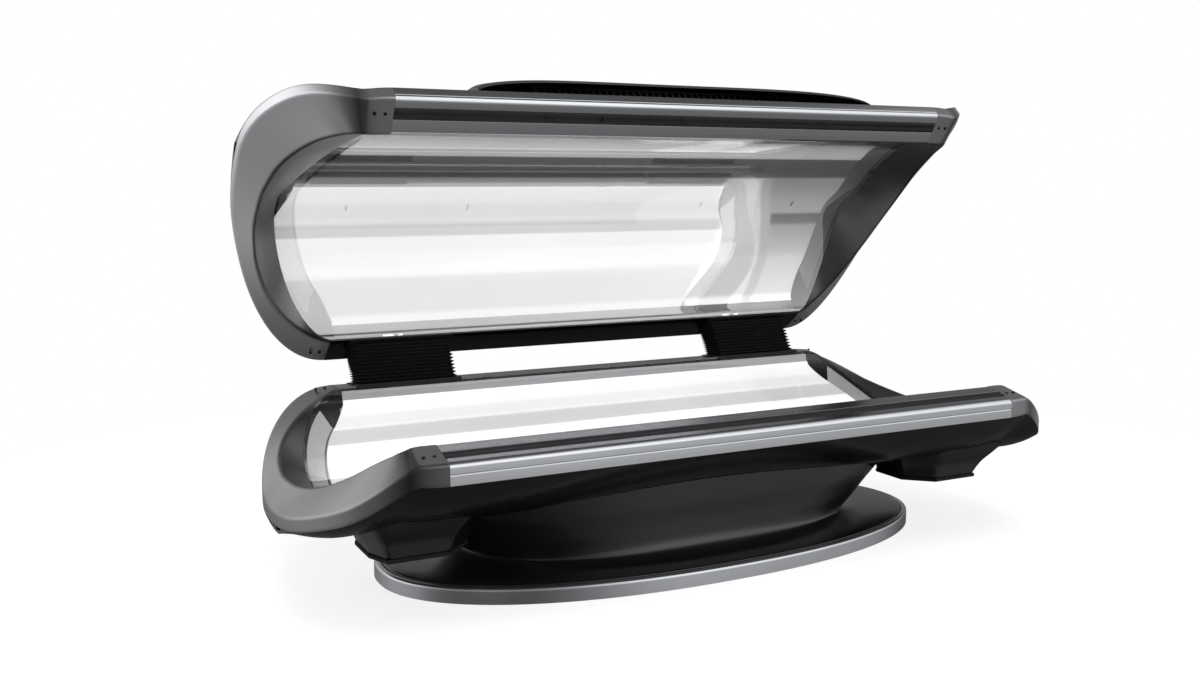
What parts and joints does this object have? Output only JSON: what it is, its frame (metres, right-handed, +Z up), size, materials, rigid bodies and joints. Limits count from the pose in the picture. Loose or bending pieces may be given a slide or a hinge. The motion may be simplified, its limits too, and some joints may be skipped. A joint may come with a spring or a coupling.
{
  "type": "red light therapy bed",
  "caption": "Lie-down light therapy bed on an oval pedestal: scooped bed with clear sheet and light boards, hinged canopy, gas struts, bellows, fans and vent hood.",
  "frame": {"origin": "centre of the plinth's underside, on the floor", "axes": "+X along the bed to its right end, +Y towards the hinge side, +Z up"},
  "size_m": [2.198, 1.119, 1.2671],
  "materials": {
    "plinth_rim": "satin silver paint",
    "inner_steel": "satin",
    "gloss_black": "gloss",
    "hood_black": "satin gloss",
    "matte_black": "matte",
    "fan_blades": "matte",
    "supply_case": "brushed",
    "cap_grey": "satin metallic grey",
    "rail_aluminium": "satin anodised",
    "gasket_rubber": "matte",
    "clear_acrylic": "clear sheet",
    "board_white": "matte",
    "reflector_metal": "bright",
    "screw_black": "black",
    "bellows_rubber": "matte",
    "hinge_steel": "satin",
    "bright_steel": "polished",
    "strut_black": "gloss"
  },
  "bodies": {
    "base": {"plinth_rim": "plinth_rim", "plinth_base": "inner_steel", "pedestal_cover": "gloss_black", "pedestal_frame": "inner_steel", "power_supplies": "supply_case", "control_unit": "matte_black", "mains_inlet": "matte_black", "bed_shell": "gloss_black", "bed_frame": "inner_steel", "bed_end_cap_left": "cap_grey", "bed_end_cap_right": "cap_grey", "bed_front_rail": "rail_aluminium", "bed_rear_rail": "rail_aluminium", "bed_gasket": "gasket_rubber", "bed_acrylic": "clear_acrylic", "bed_light_boards": "board_white", "bed_reflector": "reflector_metal", "bed_end_reflectors": "reflector_metal", "bed_cap_screws": "screw_black", "intake_cowl_left": "gloss_black", "intake_cowl_right": "gloss_black", "intake_grille_left": "matte_black", "intake_grille_right": "matte_black", "intake_fan_frame_left": "matte_black", "intake_fan_frame_right": "matte_black", "hinge_bracket_left": "hinge_steel", "hinge_bracket_right": "hinge_steel", "hinge_pins": "bright_steel", "bellows_base_plates": "matte_black", "bellows_left": "bellows_rubber", "bellows_right": "bellows_rubber"},
    "canopy": {"canopy_shell": "gloss_black", "canopy_frame": "inner_steel", "canopy_end_cap_left": "cap_grey", "canopy_end_cap_right": "cap_grey", "canopy_front_rail": "rail_aluminium", "canopy_rear_rail": "rail_aluminium", "canopy_gasket": "gasket_rubber", "canopy_acrylic": "clear_acrylic", "canopy_light_boards": "board_white", "canopy_reflector": "reflector_metal", "canopy_end_reflectors": "reflector_metal", "canopy_cap_screws": "screw_black", "hinge_arm_left": "hinge_steel", "hinge_arm_right": "hinge_steel", "strut_lugs": "hinge_steel", "bellows_top_plates": "matte_black", "vent_hood": "hood_black", "vent_grille": "matte_black", "hood_fan_frame_left": "matte_black", "hood_fan_frame_right": "matte_black"},
    "intake_fan_rotor_left": {"intake_fan_rotor_left": "fan_blades"},
    "intake_fan_rotor_right": {"intake_fan_rotor_right": "fan_blades"},
    "strut_cylinder_left": {"strut_cylinder_left": "strut_black"},
    "strut_cylinder_right": {"strut_cylinder_right": "strut_black"},
    "strut_rod_left": {"strut_rod_left": "bright_steel"},
    "strut_rod_right": {"strut_rod_right": "bright_steel"},
    "hood_fan_rotor_left": {"hood_fan_rotor_left": "fan_blades"},
    "hood_fan_rotor_right": {"hood_fan_rotor_right": "fan_blades"}
  },
  "joints": [
    {"name": "canopy_hinge", "type": "hinge", "parent": "base", "child": "canopy", "pos_m": [0, 0.52, 0.4135], "axis": [1, 0, 0], "range_deg": [0, 44.7], "deforming": ["bellows_left", "bellows_right"]},
    {"name": "strut_swing_left", "type": "hinge", "parent": "base", "child": "strut_cylinder_left", "pos_m": [-0.7, 0.366, 0.302], "axis": [1, 0, 0], "range_deg": [0, 8.7]},
    {"name": "strut_slide_left", "type": "slide", "parent": "strut_cylinder_left", "child": "strut_rod_left", "axis": [0, 0.539, 0.8423], "range_m": [-0.0648, 0]},
    {"name": "strut_swing_right", "type": "hinge", "parent": "base", "child": "strut_cylinder_right", "pos_m": [0.7, 0.366, 0.302], "axis": [1, 0, 0], "range_deg": [0, 8.7]},
    {"name": "strut_slide_right", "type": "slide", "parent": "strut_cylinder_right", "child": "strut_rod_right", "axis": [0, 0.539, 0.8423], "range_m": [-0.0648, 0]},
    {"name": "intake_fan_spin_left", "type": "hinge", "parent": "base", "child": "intake_fan_rotor_left", "pos_m": [-0.795, -0.186, 0.173], "axis": [0, 0, 1], "continuous": true},
    {"name": "hood_fan_spin_left", "type": "hinge", "parent": "canopy", "child": "hood_fan_rotor_left", "pos_m": [-0.275, 0.0594, 1.18615], "axis": [0, 0.0746, 0.9972], "continuous": true},
    {"name": "intake_fan_spin_right", "type": "hinge", "parent": "base", "child": "intake_fan_rotor_right", "pos_m": [0.795, -0.186, 0.173], "axis": [0, 0, 1], "continuous": true},
    {"name": "hood_fan_spin_right", "type": "hinge", "parent": "canopy", "child": "hood_fan_rotor_right", "pos_m": [0.275, 0.0594, 1.18615], "axis": [0, 0.0746, 0.9972], "continuous": true}
  ],
  "couplings": [
    {"joint": "strut_swing_left", "follows": "canopy_hinge", "ratio": 0.1924},
    {"joint": "strut_slide_left", "follows": "canopy_hinge", "m_per_rad": -0.08254},
    {"joint": "strut_swing_right", "follows": "canopy_hinge", "ratio": 0.1924},
    {"joint": "strut_slide_right", "follows": "canopy_hinge", "m_per_rad": -0.08254}
  ]
}
